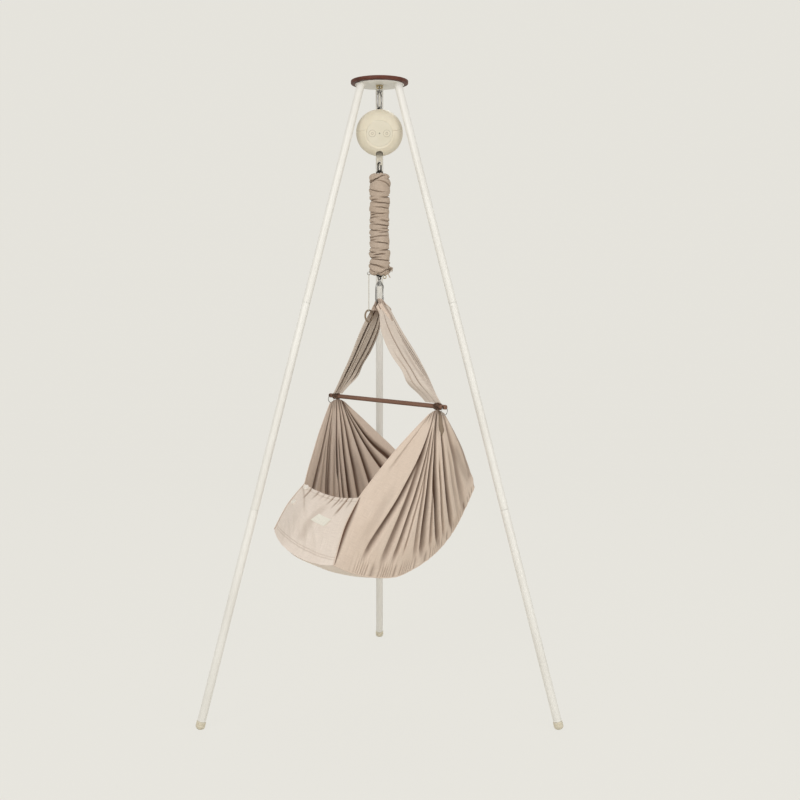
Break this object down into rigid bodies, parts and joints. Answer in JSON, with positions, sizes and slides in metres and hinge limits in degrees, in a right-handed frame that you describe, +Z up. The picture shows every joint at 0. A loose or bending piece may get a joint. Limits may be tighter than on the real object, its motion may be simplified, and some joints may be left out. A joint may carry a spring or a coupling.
{
  "type": "baby hammock",
  "caption": "Three-legged stand with a wooden cap, a motor, a covered spring and a gathered cloth cradle on a wooden spreader bar.",
  "frame": {"origin": "middle of the outline on the floor; the plumb line of the hanger is at Y = -0.1392", "axes": "+Z up, -Y towards the side that the motor's control panel faces, the rear leg at +Y"},
  "size_m": [0.9896, 0.8604, 1.8],
  "materials": {
    "cream_paint": "satin cream paint",
    "walnut": "oiled dark wood",
    "steel": "bright",
    "dark_steel": "dull",
    "cream_plastic": "satin moulded",
    "panel_plastic": "matt moulded",
    "dark_plastic": "matt moulded",
    "green_board": "coated board",
    "lens": "clear, glossy",
    "webbing": "flat woven strap",
    "cloth": "plain woven cotton",
    "cover_cloth": "gathered cotton",
    "mattress_cloth": "quilted cotton"
  },
  "bodies": {
    "stand": {"top_cap": "walnut", "top_plate": "cream_paint", "hanger_eye": "steel", "hanger_nut": "steel", "leg_upper_front_right": "cream_paint", "leg_middle_front_right": "cream_paint", "leg_lower_front_right": "cream_paint", "foot_cap_front_right": "cream_plastic", "leg_upper_front_left": "cream_paint", "leg_middle_front_left": "cream_paint", "leg_lower_front_left": "cream_paint", "foot_cap_front_left": "cream_plastic", "leg_upper_rear": "cream_paint", "leg_middle_rear": "cream_paint", "leg_lower_rear": "cream_paint", "foot_cap_rear": "cream_plastic"},
    "top_hook": {"top_hook": "steel"},
    "top_gate": {"top_gate": "steel"},
    "motor": {"motor_shell_upper": "cream_plastic", "motor_shell_lower": "cream_plastic", "control_panel": "panel_plastic", "indicator_lens": "lens", "circuit_board": "green_board", "motor_chassis": "dark_steel", "motor_loop": "steel", "gear_motor": "dark_plastic", "battery_pack": "dark_plastic", "charge_socket": "dark_plastic", "shell_screw_left": "steel", "shell_screw_right": "steel"},
    "button_left": {"button_left": "panel_plastic"},
    "button_right": {"button_right": "panel_plastic"},
    "spool": {"spool": "webbing", "spool_shaft": "steel"},
    "lift": {"lift_strap": "webbing", "lift_link": "steel", "tension_spring": "steel", "spring_cover": "cover_cloth"},
    "spring_end": {"swivel_eye": "steel", "cover_ring": "steel", "cord_ring": "steel", "safety_cord": "webbing"},
    "cradle": {"lower_hook": "steel", "sling_loop": "cloth", "side_loop": "cloth", "sling_strap_front": "cloth", "sling_strap_back": "cloth", "spreader_bar": "walnut", "bar_cuff_front": "cloth", "bar_cuff_back": "cloth", "wall_front": "cloth", "wall_back": "cloth", "floor_panel": "cloth", "foot_panel": "cloth", "head_panel": "cloth", "mattress": "mattress_cloth", "label_patch": "webbing"},
    "lower_gate": {"lower_gate": "steel"},
    "ring_front": {"ring_front": "steel"},
    "ring_back": {"ring_back": "steel"}
  },
  "joints": [
    {"name": "swing_fore", "type": "hinge", "parent": "stand", "child": "top_hook", "pos_m": [0, -0.1392, 1.7773], "axis": [1, 0, 0], "range_deg": [-2, 2]},
    {"name": "top_gate_hinge", "type": "hinge", "parent": "top_hook", "child": "top_gate", "pos_m": [0.00525, -0.13011, 1.7542], "axis": [-0.866, 0.5, 0], "range_deg": [0, 22], "stiffness_Nm_per_rad": 0.02, "springref_deg": -8.59},
    {"name": "swing_side", "type": "hinge", "parent": "top_hook", "child": "motor", "pos_m": [0, -0.1392, 1.7165], "axis": [0, 1, 0], "range_deg": [-2, 2]},
    {"name": "button_left_press", "type": "slide", "parent": "motor", "child": "button_left", "axis": [0, 0.9816, 0.1908], "range_m": [0, 0.0008], "stiffness_N_per_m": 400, "springref_m": -0.0008},
    {"name": "button_right_press", "type": "slide", "parent": "motor", "child": "button_right", "axis": [0, 0.9816, 0.1908], "range_m": [0, 0.0008], "stiffness_N_per_m": 400, "springref_m": -0.0008},
    {"name": "lift_run", "type": "slide", "parent": "motor", "child": "lift", "axis": [0, 0, 1], "range_m": [-0.04, 0.012]},
    {"name": "spool_turn", "type": "hinge", "parent": "motor", "child": "spool", "pos_m": [0, -0.1244, 1.6468], "axis": [1, 0, 0], "range_deg": [-46.6, 155]},
    {"name": "spring_stretch", "type": "slide", "parent": "lift", "child": "spring_end", "axis": [0, 0, -1], "range_m": [0, 0.1], "stiffness_N_per_m": 300, "springref_m": -0.15, "deforming": ["tension_spring", "spring_cover"]},
    {"name": "hook_swivel", "type": "hinge", "parent": "spring_end", "child": "cradle", "pos_m": [0, -0.1392, 1.2085], "axis": [0, 0, 1], "range_deg": [-4, 4]},
    {"name": "lower_gate_hinge", "type": "hinge", "parent": "cradle", "child": "lower_gate", "pos_m": [0.00996, -0.13084, 1.1907], "axis": [-0.6428, 0.766, 0], "range_deg": [0, 25], "stiffness_Nm_per_rad": 0.02, "springref_deg": -8.59},
    {"name": "ring_front_swing", "type": "hinge", "parent": "cradle", "child": "ring_front", "pos_m": [0.1797, -0.33607, 0.858], "axis": [0.766, 0.6428, 0], "range_deg": [-25, 25]},
    {"name": "ring_back_swing", "type": "hinge", "parent": "cradle", "child": "ring_back", "pos_m": [-0.1507, 0.05767, 0.858], "axis": [0.766, 0.6428, 0], "range_deg": [-25, 25]}
  ],
  "couplings": [
    {"joint": "spool_turn", "follows": "lift_run", "rad_per_m": -67.568}
  ]
}
